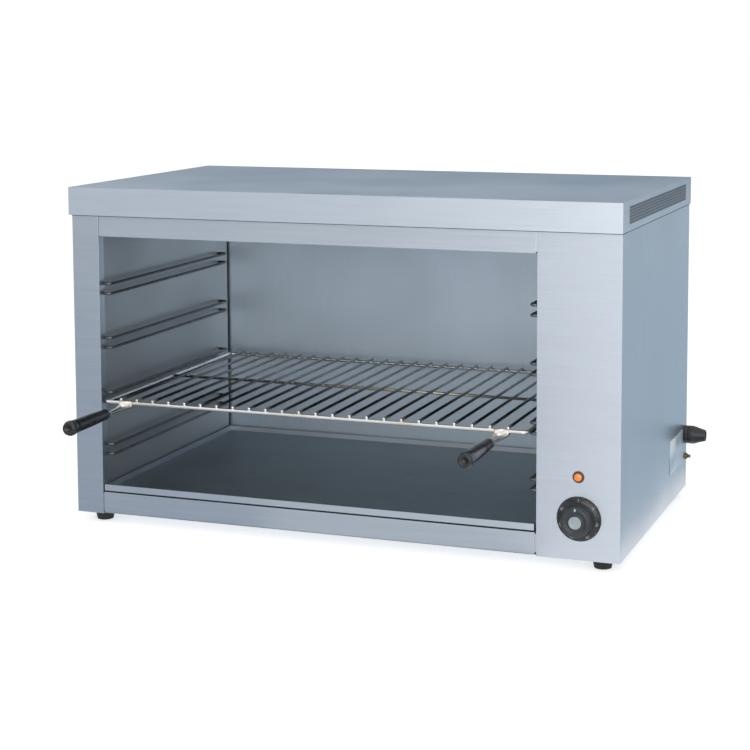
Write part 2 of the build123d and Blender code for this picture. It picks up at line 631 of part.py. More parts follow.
def foot_fasteners():
    """Screw and nut of each foot."""
    made = []
    for x in FOOT_X:
        for y in FOOT_Y:
            made += screws([(x, y, 6 - FOOT_H)], Z_AXIS, 5.0, 2.6, FOOT_SCREW_R, 16)
            nut = hexagon((x, y, BASE_Z + SHEET), Z_AXIS, 4, 8)
            made.append(nut - rod((x, y, 0), Z_AXIS, 10, FOOT_SCREW_R + 0.02))
    return made


def rear_screw_places():
    return [(x, BACK_Y, z) for x in (10.0, CAB_W - 10.0) for z in (40.0, 160.0, 280.0, 400.0)]


def rear_screw_holes():
    holes = None
    for x, _, z in rear_screw_places():
        hole = rod((x, REAR_Y - 3, z), Y_AXIS, 6, SCREW_R + 0.1)
        holes = hole if holes is None else holes + hole
    return holes


def panel_screws():
    """Screws of the rear panel, the top cover and the thermostat."""
    cover = [(x, CAB_D, COVER_SCREW_Z) for x in COVER_SCREW_X]
    control = [(x, FRONT_Y, KNOB_Z) for x in THERMOSTAT_SCREW_X]
    return (screws(rear_screw_places(), (0, -1, 0), 3.6, SCREW_HEAD, SCREW_R, 6)
            + screws(cover, (0, -1, 0), 3.6, SCREW_HEAD, SCREW_R, 8)
            + screws(control, Y_AXIS, 3.4, 1.6, SCREW_R, 8))


def build_all():
    os.makedirs("parts", exist_ok=True)
    save("top_cover", top_cover())
    save("vent_grille", vent_grille())
    save("left_side_panel", left_side_panel())
    save("right_side_panel", right_side_panel())
    save("control_panel", control_panel())
    save("upper_front_rail", upper_front_rail())
    save("lower_front_rail", lower_front_rail())
    save("rear_panel", rear_panel())
    save("base_panel", base_panel())
    save("inner_left_wall", inner_left_wall())
    save("inner_right_wall", inner_right_wall())
    save("inner_back_wall", inner_back_wall())
    save("reflector", reflector())
    for level, z in enumerate(RUNNER_Z, start=1):
        save(f"left_runner_{level}", *runner(RUNNER_X0, POST_X, CAVITY_X0, z))
        save(f"right_runner_{level}", *runner(RUNNER_X1, PANEL_X, CAVITY_X1, z))
    save("left_tray_guide", tray_guide(CAVITY_X0, 1))
    save("right_tray_guide", tray_guide(CAVITY_X1, -1))
    save("crumb_tray", crumb_tray())

    save("rack_frame", rack_frame())
    save("rack_cross_bar", rack_cross_bar())
    save("rack_wires", *rack_wires())
    for side, x in (("left", RACK_MID_X - HANDLE_X), ("right", RACK_MID_X + HANDLE_X)):
        save(f"{side}_handle_wires", handle_wires(x))
        save(f"{side}_grip", grip(x))

    for number, y in enumerate(ELEMENT_Y, start=1):
        save(f"heating_element_{number}", heating_element(y))
    save("element_plates", *element_plates())
    save("element_brackets", *element_brackets())
    save("element_insulators", *element_insulators())
    save("element_pins", *element_pins())

    save("thermostat", thermostat())
    save("capillary_bulb", capillary_bulb())
    save("dial_bezel", dial_bezel())
    save("control_knob", control_knob())
    save("knob_shaft", knob_shaft())
    save("lamp_bezel", lamp_bezel())
    save("lamp_lens", lamp_lens())
    save("lamp_body", lamp_body())
    save("terminal_block", terminal_block())
    save("internal_leads", *internal_leads())

    save("gland_body", gland_body())
    save("gland_locknut", gland_locknut())
    save("gland_seal", gland_seal())
    save("gland_nut", gland_nut())
    save("bonding_terminal", *bonding_terminal())
    save("rating_plate", rating_plate())

    for depth, y in zip(("front", "rear"), FOOT_Y):
        for side, x in zip(("left", "right"), FOOT_X):
            save(f"{depth}_{side}_foot", foot(x, y))
    save("foot_fasteners", *foot_fasteners())
    save("panel_screws", *panel_screws())


build_all()
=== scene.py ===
"""Looks of a countertop cheese melter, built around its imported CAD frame."""

import math

import bmesh
import bpy
from bpy.props import FloatProperty, FloatVectorProperty, IntProperty, PointerProperty
from mathutils import Matrix, Vector


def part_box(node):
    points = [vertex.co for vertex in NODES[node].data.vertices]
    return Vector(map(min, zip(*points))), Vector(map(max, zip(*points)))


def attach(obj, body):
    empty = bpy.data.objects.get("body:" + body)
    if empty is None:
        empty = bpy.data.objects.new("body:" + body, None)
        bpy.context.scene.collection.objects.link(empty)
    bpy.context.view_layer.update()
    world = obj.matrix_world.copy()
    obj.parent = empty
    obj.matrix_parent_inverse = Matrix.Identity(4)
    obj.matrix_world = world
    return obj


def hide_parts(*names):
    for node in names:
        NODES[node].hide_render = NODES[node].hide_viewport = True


bl_info = {
    "name": "Cheese melter looks",
    "version": (1, 0, 0),
    "blender": (4, 5, 0),
    "location": "View3D > Sidebar > Melter",
    "description": "Brushed steel, rods, plastics, dial marks and a studio for a cheese melter",
    "category": "Object",
}

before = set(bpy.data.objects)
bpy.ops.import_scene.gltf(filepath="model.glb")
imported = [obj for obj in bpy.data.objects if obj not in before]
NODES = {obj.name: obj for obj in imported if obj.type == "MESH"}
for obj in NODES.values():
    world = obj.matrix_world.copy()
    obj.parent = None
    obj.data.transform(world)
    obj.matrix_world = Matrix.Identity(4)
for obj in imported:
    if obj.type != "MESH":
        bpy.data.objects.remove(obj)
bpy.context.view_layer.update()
MM = 0.001

# Axes that a brushed grain runs along, as indexes of X, Y and Z.
ALONG_X, ALONG_Y, ALONG_Z = 0, 1, 2


# ---- settings ---------------------------------------------------------------------------
def colour_property(name, description, default):
    """A colour that a user can change."""
    return FloatVectorProperty(name=name, description=description, default=default,
                               subtype="COLOR", size=3, min=0.0, max=1.0)


class MELTER_PG_steel(bpy.types.PropertyGroup):
    """Sheet steel of the casing and the cavity."""
    sheet: colour_property("Sheet", "Colour of the brushed outer sheets", (0.50, 0.545, 0.60))
    cavity: colour_property("Cavity", "Colour of the cavity's back and ceiling",
                            (0.53, 0.61, 0.69))
    # Painted shade: the cavity's side walls get a darker colour than its back, standing for the
    # shade and dark reflections on them; they are not dulled by heat.
    cheek: colour_property("Cavity sides", "Colour of the cavity's side walls, dulled by heat",
                           (0.46, 0.485, 0.50))
    # Painted shade: the runners' near-black colour stands for the shade and dark reflections on
    # the rods.
    runner: colour_property("Runners", "Colour of the rack runners", (0.16, 0.165, 0.17))
    # Painted shade: the tray's floor gets this dark colour to stand for the shade in the cavity;
    # its baked-on marks are real.
    tray: colour_property("Tray", "Colour of the dull crumb tray", (0.22, 0.26, 0.285))
    roughness: FloatProperty(name="Roughness", description="Roughness of the brushed sheets",
                             default=0.36, min=0.05, max=1.0, subtype="FACTOR")
    edge: FloatProperty(name="Edge radius", description="Rounding of cut and folded edges",
                        default=0.35 * MM, min=0.0, max=1.0 * MM, unit="LENGTH")


class MELTER_PG_rack(bpy.types.PropertyGroup):
    """Plated rods of the rack and its grips."""
    plating: colour_property("Plating", "Colour of the bright rods", (0.80, 0.79, 0.76))
    stain: colour_property("Heat stain", "Straw tint left by heat on the rods", (0.58, 0.52, 0.38))
    # Painted shade: a dark colour that the wires take inside the cavity, standing for the shade
    # there; they are not burnt.
    burnt: colour_property("Burnt wire", "Colour of the wires under the heating elements",
                           (0.20, 0.20, 0.205))
    weld: FloatProperty(name="Weld size", description="Half width of a weld bead",
                        default=2.0 * MM, min=0.5 * MM, max=4.0 * MM, unit="LENGTH")
    grip: colour_property("Grip", "Colour of the moulded grips", (0.012, 0.013, 0.015))


class MELTER_PG_controls(bpy.types.PropertyGroup):
    """Dial, knob and indicator."""
    knob: colour_property("Knob", "Colour of the knob", (0.020, 0.025, 0.031))
    plate: colour_property("Scale plate", "Colour of the plate behind the knob",
                           (0.010, 0.011, 0.013))
    marks: colour_property("Marks", "Colour of the numbers, ticks and pointer",
                           (0.62, 0.66, 0.68))
    cap: colour_property("Cap", "Colour of the blank cap in the knob", (0.30, 0.35, 0.38))
    lens: colour_property("Lens", "Colour of the indicator lens", (0.90, 0.27, 0.04))
    number_height: FloatProperty(name="Number height", description="Height of the dial's numbers",
                                 default=3.6 * MM, min=1 * MM, max=6 * MM, unit="LENGTH")
    top_number: IntProperty(name="Top number", description="Highest number on the dial",
                            default=300, min=100, max=400)


class MELTER_PG_stage(bpy.types.PropertyGroup):
    """Floor, cards, lamps and camera."""
    floor: colour_property("Floor", "Colour of the floor", (0.80, 0.80, 0.80))
    back_card: colour_property("Back card", "Colour that the card behind gives to the top",
                               (0.10, 0.19, 0.28))
    side_card: colour_property("Side card", "Colour that the card on the right gives to the side",
                               (0.49, 0.61, 0.71))
    left_card: colour_property("Left card", "Colour that the floor card gives to the front's left",
                               (0.45, 0.51, 0.59))
    middle_card: colour_property("Middle card",
                                 "Colour that the floor card gives to the front's middle",
                                 (0.64, 0.68, 0.73))
    ambient: FloatProperty(name="Ambient", description="Strength of the world's soft light",
                           default=0.62, min=0.0, max=2.0)
    key: FloatProperty(name="Key", description="Power of the key softbox", default=30.0,
                       min=0.0, max=200.0, unit="POWER")
    fill: FloatProperty(name="Fill", description="Power of the overhead softbox", default=6.0,
                        min=0.0, max=200.0, unit="POWER")
    lens: FloatProperty(name="Lens", description="Focal length of the camera", default=86.56,
                        min=10.0, max=300.0, unit="CAMERA")


# ---- node helpers -----------------------------------------------------------------------
def add_node(tree, kind, **values):
    """Adds a shader node. Values set the node's own choices, such as its operation."""
    node = tree.nodes.new(kind)
    for key, value in values.items():
        setattr(node, key, value)
    return node


def feed(tree, node, name, value):
    """Links a socket into an input, or sets the input to a plain value."""
    socket = node.inputs[name]
    if isinstance(value, bpy.types.NodeSocket):
        tree.links.new(value, socket)
    else:
        socket.default_value = value


def math_node(tree, operation, a, b=0.0):
    """Result of a sum or test on two numbers."""
    node = add_node(tree, "ShaderNodeMath", operation=operation)
    feed(tree, node, 0, a)
    feed(tree, node, 1, b)
    return node.outputs[0]


def vector_math(tree, operation, a, b):
    """Result of a sum on two vectors."""
    node = add_node(tree, "ShaderNodeVectorMath", operation=operation)
    feed(tree, node, 0, a)
    feed(tree, node, 1, b)
    return node.outputs[0]


def remap(tree, value, low, high, to_low=0.0, to_high=1.0):
    """Maps a value from one range to another and clamps it."""
    node = add_node(tree, "ShaderNodeMapRange")
    feed(tree, node, "Value", value)
    feed(tree, node, "From Min", low)
    feed(tree, node, "From Max", high)
    feed(tree, node, "To Min", to_low)
    feed(tree, node, "To Max", to_high)
    return node.outputs["Result"]


def noise(tree, vector, scale, detail, rough):
    """Noise from 0 to 1; scale is in features per metre where the vector is a place."""
    node = add_node(tree, "ShaderNodeTexNoise")
    feed(tree, node, "Vector", vector)
    feed(tree, node, "Scale", scale)
    feed(tree, node, "Detail", detail)
    feed(tree, node, "Roughness", rough)
    return node.outputs["Fac"]


def mixed(tree, factor, a, b):
    """Mixes two colours by a factor."""
    node = add_node(tree, "ShaderNodeMix", data_type="RGBA")
    feed(tree, node, "Factor", factor)
    for index, value in ((6, a), (7, b)):
        if not isinstance(value, bpy.types.NodeSocket):
            value = (*value, 1.0)
        feed(tree, node, index, value)
    return node.outputs[2]


def shade(colour, factor):
    """A colour made lighter or darker, kept below white."""
    return tuple(min(c * factor, 1.0) for c in colour)


def place(tree):
    """Point in the object's own frame, in metres."""
    return add_node(tree, "ShaderNodeTexCoord").outputs["Object"]


def facing(tree):
    """Direction of the face in the object's own frame."""
    return add_node(tree, "ShaderNodeTexCoord").outputs["Normal"]


def axes(tree, vector):
    """The X, Y and Z of a vector."""
    split = add_node(tree, "ShaderNodeSeparateXYZ")
    feed(tree, split, 0, vector)
    return split.outputs


def bump(tree, height, strength, distance):
    """Shading normal of a relief that is distance high."""
    node = add_node(tree, "ShaderNodeBump")
    feed(tree, node, "Height", height)
    feed(tree, node, "Strength", strength)
    feed(tree, node, "Distance", distance)
    return node.outputs["Normal"]


def new_material(name, metallic=0.0):
    """A node material; returns it, its tree and its main shader."""
    material = bpy.data.materials.new(name)
    material.use_nodes = True
    tree = material.node_tree
    main = tree.nodes["Principled BSDF"]
    main.inputs["Metallic"].default_value = metallic
    return material, tree, main


# ---- materials --------------------------------------------------------------------------
HAIRLINE_ACROSS, HAIRLINE_ALONG = 900.0, 9.0      # noise features per metre
BAND_ACROSS, BAND_ALONG = 60.0, 1.5
# Painted shade: behind these Y, inside the cavity, the wires turn dark.
WIRE_SHADE_FROM, WIRE_SHADE_TO = -0.143, -0.130             # Y where the wires turn dark
ALONG_AXIS = 0.7                                  # a face that looks this much along an axis


def grain_vector(tree, across, along, grain):
    """Stretches the object's frame so noise runs along the grain of each face.

    grain gives, for faces that look along X, Y and Z, the axis that the brushing follows.
    """
    looks = axes(tree, vector_math(tree, "ABSOLUTE", facing(tree), (0, 0, 0)))
    total = None
    for side, axis in enumerate(grain):
        scale = [across] * 3
        scale[axis] = along
        chosen = math_node(tree, "GREATER_THAN", looks[side], ALONG_AXIS)
        part = add_node(tree, "ShaderNodeVectorMath", operation="SCALE")
        feed(tree, part, 0, scale)
        feed(tree, part, "Scale", chosen)
        if total is None:
            total = part.outputs[0]
        else:
            total = vector_math(tree, "ADD", total, part.outputs[0])
    return vector_math(tree, "MULTIPLY", place(tree), total)


def brushed_steel(name, colour, roughness, grain, streaks=1.0, smudges=1.0):
    """Brushed stainless sheet: hairlines, wide soft bands and faint smudges."""
    material, tree, main = new_material(name, metallic=1.0)
    hair = noise(tree, grain_vector(tree, HAIRLINE_ACROSS, HAIRLINE_ALONG, grain), 1.0, 4, 0.7)
    bands = noise(tree, grain_vector(tree, BAND_ACROSS, BAND_ALONG, grain), 1.0, 3, 0.6)
    cloud = noise(tree, place(tree), 5.0, 3, 0.5)
    lines = mixed(tree, remap(tree, hair, 0.3, 0.7), shade(colour, 1 - 0.06 * streaks),
                  shade(colour, 1 + 0.06 * streaks))
    banded = mixed(tree, remap(tree, bands, 0.3, 0.7, 0.0, 0.10 * streaks), lines,
                   shade(colour, 0.80))
    final = mixed(tree, remap(tree, cloud, 0.35, 0.75, 0.0, 0.10 * smudges), banded,
                  shade(colour, 0.82))
    feed(tree, main, "Base Color", final)
    base = remap(tree, hair, 0.3, 0.7, roughness - 0.05 * streaks, roughness + 0.07 * streaks)
    smeared = remap(tree, cloud, 0.35, 0.7, 0.0, 0.07 * smudges)
    feed(tree, main, "Roughness", math_node(tree, "ADD", base, smeared))
    feed(tree, main, "Normal", bump(tree, hair, 0.25 * streaks, 0.05 * MM))
    return material


def dull_tray_steel(name, colour, unshaded):
    """Rolled sheet with baked-on marks; painted shade darkens its floor, and its upright faces
    keep the unshaded colour.
    """
    material, tree, main = new_material(name, metallic=1.0)
    cloud = noise(tree, place(tree), 9.0, 5, 0.6)
    marks = noise(tree, place(tree), 45.0, 3, 0.5)
    grain = (ALONG_Y, ALONG_X, ALONG_X)
    scratch = noise(tree, grain_vector(tree, 700.0, 12.0, grain), 1.0, 3, 0.6)
    clouded = mixed(tree, remap(tree, cloud, 0.3, 0.7), shade(colour, 0.80), shade(colour, 1.20))
    marked = mixed(tree, remap(tree, marks, 0.62, 0.75, 0.0, 0.35), clouded, shade(colour, 0.5))
    # Painted shade: faces that look up take the dark colour, and upright faces take the unshaded
    # one.
    upward_painted_shade = math_node(tree, "GREATER_THAN", axes(tree, facing(tree))[2], ALONG_AXIS)
    feed(tree, main, "Base Color", mixed(tree, upward_painted_shade, unshaded, marked))
    feed(tree, main, "Roughness", remap(tree, cloud, 0.3, 0.7, 0.38, 0.52))
    feed(tree, main, "Normal", bump(tree, scratch, 0.2, 0.05 * MM))
    return material


def plated_rod(name, colour, stain, roughness=0.16, burnt=None):
    """Bright plated rod with straw-coloured heat stains and dulled patches.

    With a wire shade colour, the rod turns to that colour behind its front end, inside the cavity,
    as painted shade.
    """
    material, tree, main = new_material(name, metallic=1.0)
    patches = noise(tree, place(tree), 14.0, 4, 0.6)
    specks = noise(tree, place(tree), 420.0, 2, 0.5)
    tinted = mixed(tree, remap(tree, patches, 0.45, 0.72, 0.0, 0.75), colour, stain)
    if burnt:
        # Painted shade: the rod darkens behind the rack's front end.
        shaded_part = remap(tree, axes(tree, place(tree))[1], WIRE_SHADE_FROM, WIRE_SHADE_TO)
        tinted = mixed(tree, shaded_part, tinted, burnt)
    feed(tree, main, "Base Color", mixed(tree, remap(tree, specks, 0.6, 0.8, 0.0, 0.3), tinted,
                                         shade(stain, 0.6)))
    feed(tree, main, "Roughness", remap(tree, patches, 0.35, 0.7, roughness, roughness + 0.14))
    feed(tree, main, "Normal", bump(tree, specks, 0.08, 0.05 * MM))
    return material


def moulded_plastic(name, colour, roughness):
    """Moulded plastic: fine mould texture, worn lighter patches."""
    material, tree, main = new_material(name)
    grain = noise(tree, place(tree), 1280.0, 2, 0.5)
    rub = noise(tree, place(tree), 60.0, 4, 0.6)
    lighter = tuple(min(c * 1.5 + 0.004, 1.0) for c in colour)
    feed(tree, main, "Base Color", mixed(tree, remap(tree, rub, 0.4, 0.75), colour, lighter))
    feed(tree, main, "Roughness", remap(tree, rub, 0.3, 0.7, roughness - 0.06, roughness + 0.10))
    feed(tree, main, "Normal", bump(tree, grain, 0.12, 0.06 * MM))
    return material


def rubber(name, colour):
    """Matte rubber with dust in its pores."""
    material, tree, main = new_material(name)
    pores = noise(tree, place(tree), 900.0, 3, 0.6)
    dust = noise(tree, place(tree), 70.0, 4, 0.6)
    dusty = mixed(tree, remap(tree, dust, 0.5, 0.8, 0.0, 0.35), colour, (0.10, 0.10, 0.10))
    feed(tree, main, "Base Color", dusty)
    feed(tree, main, "Roughness", remap(tree, pores, 0.3, 0.7, 0.62, 0.85))
    feed(tree, main, "Normal", bump(tree, pores, 0.25, 0.1 * MM))
    return material


def bare_metal(name, colour, roughness, spots):
    """Turned or drawn metal with spots of tarnish."""
    material, tree, main = new_material(name, metallic=1.0)
    tarnish = noise(tree, place(tree), 130.0, 4, 0.65)
    fine = noise(tree, place(tree), 1500.0, 2, 0.5)
    feed(tree, main, "Base Color", mixed(tree, remap(tree, tarnish, 0.4, 0.7, 0.0, spots), colour,
                                         shade(colour, 0.45)))
    feed(tree, main, "Roughness", remap(tree, tarnish, 0.3, 0.7, roughness, roughness + 0.18))
    feed(tree, main, "Normal", bump(tree, fine, 0.10, 0.04 * MM))
    return material


def element_sheath(name):
    """Oxidised heater tube: grey-brown with blue and straw heat colours."""
    material, tree, main = new_material(name, metallic=0.85)
    heat = noise(tree, place(tree), 11.0, 3, 0.6)
    scale = noise(tree, place(tree), 500.0, 4, 0.6)
    tint = mixed(tree, remap(tree, heat, 0.35, 0.65), (0.16, 0.145, 0.13), (0.12, 0.125, 0.15))
    feed(tree, main, "Base Color", mixed(tree, remap(tree, scale, 0.5, 0.8, 0.0, 0.6), tint,
                                         (0.05, 0.045, 0.04)))
    feed(tree, main, "Roughness", remap(tree, scale, 0.3, 0.7, 0.45, 0.65))
    feed(tree, main, "Normal", bump(tree, scale, 0.2, 0.08 * MM))
    return material


def indicator_lens(name, colour):
    """Orange lens: ribbed inside and lit faintly from behind by its own colour."""
    material, tree, main = new_material(name)
    ribs = noise(tree, place(tree), 900.0, 2, 0.5)
    feed(tree, main, "Base Color", mixed(tree, remap(tree, ribs, 0.35, 0.65),
                                         shade(colour, 0.85), shade(colour, 1.15)))
    feed(tree, main, "Roughness", remap(tree, ribs, 0.3, 0.7, 0.10, 0.20))
    main.inputs["Coat Weight"].default_value = 0.5
    main.inputs["Emission Color"].default_value = (*colour, 1.0)
    main.inputs["Emission Strength"].default_value = 0.12
    return material


def printed_marks(name, colour):
    """Screen-printed ink, slightly uneven."""
    material, tree, main = new_material(name)
    ink = noise(tree, place(tree), 800.0, 3, 0.6)
    feed(tree, main, "Base Color", mixed(tree, remap(tree, ink, 0.4, 0.7), colour,
                                         shade(colour, 0.8)))
    feed(tree, main, "Roughness", remap(tree, ink, 0.3, 0.7, 0.45, 0.6))
    return material


# ---- object helpers ---------------------------------------------------------------------
WELD_GAP = 0.002 * MM
CREASE, COPLANAR = 40.0, 0.5      # degrees: sharper is an edge, flatter is one face


def dress(names, material, edge=0.0, smooth=CREASE):
    """Gives CAD nodes a material and, where asked, rounded edges; smooth 0 is for flat sheets."""
    for name in names:
        node = NODES[name]
        node.data.materials.clear()
        node.data.materials.append(material)
        weld = node.modifiers.new("Weld", "WELD")
        weld.merge_threshold = WELD_GAP
        if edge:
            flat = node.modifiers.new("Flat", "DECIMATE")
            flat.decimate_type = "DISSOLVE"
            flat.angle_limit = math.radians(COPLANAR)
            bevel = node.modifiers.new("Edge", "BEVEL")
            bevel.width = edge
            bevel.segments = 2
            bevel.limit_method = "ANGLE"
            bevel.angle_limit = math.radians(CREASE)
        if smooth:
            smooth_by_angle(node, smooth)
        else:
            node.data.polygons.foreach_set("use_smooth", [False] * len(node.data.polygons))


def smooth_by_angle(piece, angle):
    """Shades faces smooth and keeps edges sharper than the angle."""
    mesh = piece.data
    mesh.polygons.foreach_set("use_smooth", [True] * len(mesh.polygons))
    mesh.set_sharp_from_angle(angle=math.radians(angle))


def mesh_piece(name, bm, material, body, smooth):
    """Turns a bmesh into a named piece that rides on a body."""
    mesh = bpy.data.meshes.new(name)
    bmesh.ops.recalc_face_normals(bm, faces=bm.faces)
    bm.to_mesh(mesh)
    bm.free()
    piece = bpy.data.objects.new(name, mesh)
    bpy.context.scene.collection.objects.link(piece)
    mesh.materials.append(material)
    smooth_by_angle(piece, smooth)
    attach(piece, body)
    return piece


def run(operators):
    """Calls the add-on's operators in order and stops at the first that doesn't finish."""
    for name in operators:
        result = getattr(bpy.ops.melter, name)()
        if result != {"FINISHED"}:
            raise RuntimeError(f"melter.{name} returned {result}")


# ---- casing and cavity ------------------------------------------------------------------
# Painted light: the cover gets a lighter copy of the sheet's colour, for the way light falls on
# it.
COVER_PAINTED_LIGHT, PLAIN_SHADE, VENT_SHADE = 1.12, 0.92, 0.5      # of the sheet's colour
# Size of the dark band under the cover's skirt, a painted shadow.
SHADOW_STRIP_HEIGHT, SHADOW_STRIP_PROUD, SHADOW_STRIP_DEPTH = 1.5 * MM, 0.5 * MM, 0.4 * MM
TRAY_EDGE = 0.2 * MM


def skirt_seal():
    """Painted shadow: a dark band round the casing, just under the cover's skirt, as four strips.
    """
    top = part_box("top_cover")[0].z
    left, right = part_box("left_side_panel")[0].x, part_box("right_side_panel")[1].x
    front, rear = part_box("control_panel")[0].y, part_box("rear_panel")[1].y
    low = Vector((left - SHADOW_STRIP_PROUD, front - SHADOW_STRIP_PROUD, top - SHADOW_STRIP_HEIGHT))
    high = Vector((right + SHADOW_STRIP_PROUD, rear + SHADOW_STRIP_PROUD, top))
    thick = SHADOW_STRIP_PROUD + SHADOW_STRIP_DEPTH
    bm = bmesh.new()
    for axis, far_side in ((0, False), (0, True), (1, False), (1, True)):
        near, far = low.copy(), high.copy()
        if far_side:
            near[axis] = far[axis] - thick
        else:
            far[axis] = near[axis] + thick
        size = far - near
        where = Matrix.Translation((near + far) / 2)
        bmesh.ops.create_cube(bm, size=1.0, matrix=where @ Matrix.Diagonal((*size, 1)))
    return bm


class MELTER_OT_casing(bpy.types.Operator):
    """Brush the outer sheets, each along its own rolling direction"""
    bl_idname = "melter.casing"
    bl_label = "Casing"

    def execute(self, context):
        steel = context.scene.melter_steel
        # Painted light: a lighter copy of the sheet for the cover.
        cover = brushed_steel("cover_brushed_painted_light", shade(tuple(steel.sheet), COVER_PAINTED_LIGHT),
                              steel.roughness, (ALONG_Y, ALONG_X, ALONG_X))
        sides = brushed_steel("side_brushed", tuple(steel.sheet), steel.roughness - 0.07,
                              (ALONG_Z, ALONG_X, ALONG_Y))
        front = brushed_steel("front_brushed", tuple(steel.sheet), steel.roughness,
                              (ALONG_Z, ALONG_X, ALONG_X))
        plain = brushed_steel("plain_sheet", shade(tuple(steel.sheet), PLAIN_SHADE),
                              steel.roughness + 0.06, (ALONG_Z, ALONG_X, ALONG_X),
                              streaks=0.6, smudges=1.4)
        vent = brushed_steel("vent_sheet", shade(tuple(steel.sheet), VENT_SHADE),
                             steel.roughness, (ALONG_Y, ALONG_X, ALONG_X), streaks=0.6)
        dress(["top_cover"], cover, steel.edge, smooth=0)
        dress(["left_side_panel", "right_side_panel"], sides, steel.edge, smooth=0)
        fronts = ["control_panel", "upper_front_rail", "lower_front_rail"]
        dress(fronts, front, steel.edge, smooth=0)
        dress(["rear_panel", "base_panel"], plain, smooth=0)
        dress(["vent_grille"], vent, smooth=0)
        # Painted shadow: the dark band under the cover's skirt, in a rubber-like finish.
        shadow_paint = rubber("skirt_shadow_paint", (0.05, 0.055, 0.06))
        mesh_piece("skirt_seal", skirt_seal(), shadow_paint, "cabinet", 20)
        return {"FINISHED"}


class MELTER_OT_cavity(bpy.types.Operator):
    """Finish the cavity's walls, runners, tray and reflector"""
    bl_idname = "melter.cavity"
    bl_label = "Cavity"

    def execute(self, context):
        steel = context.scene.melter_steel
        walls = brushed_steel("cavity_brushed", tuple(steel.cavity), steel.roughness + 0.04,
                              (ALONG_Z, ALONG_Z, ALONG_X), streaks=0.8, smudges=1.6)
        # Painted shade: runner rods darkened for their shade and dark reflections; the tarnish
        # spots are real.
        runners = bare_metal("runner_rod_painted_shade", tuple(steel.runner), 0.32, 0.5)
        guides = brushed_steel("guide_sheet", tuple(steel.cavity), steel.roughness,
                               (ALONG_Y, ALONG_X, ALONG_Y), streaks=0.6, smudges=1.2)
        # Painted shade on the tray's floor, with real baked-on marks.
        tray = dull_tray_steel("tray_painted_shade", tuple(steel.tray), tuple(steel.sheet))
        dress(["inner_back_wall", "reflector"], walls, smooth=0)
        # Painted shade: the side walls get a darker copy of the cavity steel.
        cheeks_painted_shade = brushed_steel("cavity_side_painted_shade", tuple(steel.cheek), steel.roughness + 0.04,
                               (ALONG_Z, ALONG_Z, ALONG_X), streaks=0.8, smudges=1.6)
        dress(["inner_left_wall", "inner_right_wall"], cheeks_painted_shade, smooth=0)
        rods = [f"{side}_runner_{level}" for side in ("left", "right") for level in range(1, 5)]
        dress(rods, runners)
        dress(["left_tray_guide", "right_tray_guide"], guides, TRAY_EDGE, smooth=0)
        dress(["crumb_tray"], tray, TRAY_EDGE, smooth=0)
        return {"FINISHED"}


# ---- rack -------------------------------------------------------------------------------
WIRE_COUNT, WIRE_R, FRAME_R = 24, 2.0 * MM, 2.5 * MM
BEAD_SHAPE = (1.15, 0.95, 0.45)      # half sizes of a weld bead, as shares of its setting
BEAD_SINK = 0.2 * MM


def wire_places():
    """X of each wire's middle, and Y of the frame's front and rear rods, from the CAD boxes."""
    low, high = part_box("rack_wires")
    frame_low, frame_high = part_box("rack_frame")
    first, last = low.x + WIRE_R, high.x - WIRE_R
    xs = [first + (last - first) * k / (WIRE_COUNT - 1) for k in range(WIRE_COUNT)]
    return xs, frame_low.y + FRAME_R, frame_high.y - FRAME_R


class MELTER_OT_rack(bpy.types.Operator):
    """Plate the rack's rods and add the weld beads where rods cross"""
    bl_idname = "melter.rack"
    bl_label = "Rack"

    def execute(self, context):
        rack = context.scene.melter_rack
        rods = plated_rod("rack_plating", tuple(rack.plating), tuple(rack.stain))
        dress(["rack_frame", "left_handle_wires", "right_handle_wires"], rods)
        wires = plated_rod("rack_wire", tuple(rack.plating), tuple(rack.stain),
                           roughness=0.22, burnt=tuple(rack.burnt))
        dress(["rack_wires"], wires)
        stained = plated_rod("rack_stained", shade(tuple(rack.stain), 0.7),
                             shade(tuple(rack.stain), 0.45), roughness=0.26)
        dress(["rack_cross_bar"], stained)
        xs, front, rear = wire_places()
        bar_low, bar_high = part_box("rack_cross_bar")
        middle = (bar_low.y + bar_high.y) / 2
        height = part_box("rack_frame")[1].z - BEAD_SINK
        shape = Matrix.Diagonal((*(share * rack.weld for share in BEAD_SHAPE), 1))
        beads = bmesh.new()
        for x in xs:
            for y in (front, middle, rear):
                where = Matrix.Translation((x, y, height))
                bmesh.ops.create_icosphere(beads, subdivisions=2, radius=1.0,
                                           matrix=where @ shape)
        mesh_piece("rack_weld_beads", beads, rods, "rack", 180)
        grips = moulded_plastic("grip_moulded", tuple(rack.grip), 0.22)
        dress(["left_grip", "right_grip"], grips, smooth=25)
        return {"FINISHED"}


# ---- heating ----------------------------------------------------------------------------
class MELTER_OT_heating(bpy.types.Operator):
    """Finish the elements, their sheet parts, beads and pins"""
    bl_idname = "melter.heating"
    bl_label = "Heating"

    def execute(self, context):
        dress([f"heating_element_{k}" for k in (1, 2, 3)], element_sheath("element_sheath"))
        sheet = brushed_steel("bracket_sheet", (0.5, 0.51, 0.52), 0.4, (ALONG_Z, ALONG_X, ALONG_X))
        dress(["element_plates", "element_brackets"], sheet)
        dress(["element_insulators"], moulded_plastic("ceramic_bead", (0.78, 0.75, 0.68), 0.55))
        dress(["element_pins"], bare_metal("pin_metal", (0.72, 0.58, 0.32), 0.28, 0.6))
        return {"FINISHED"}


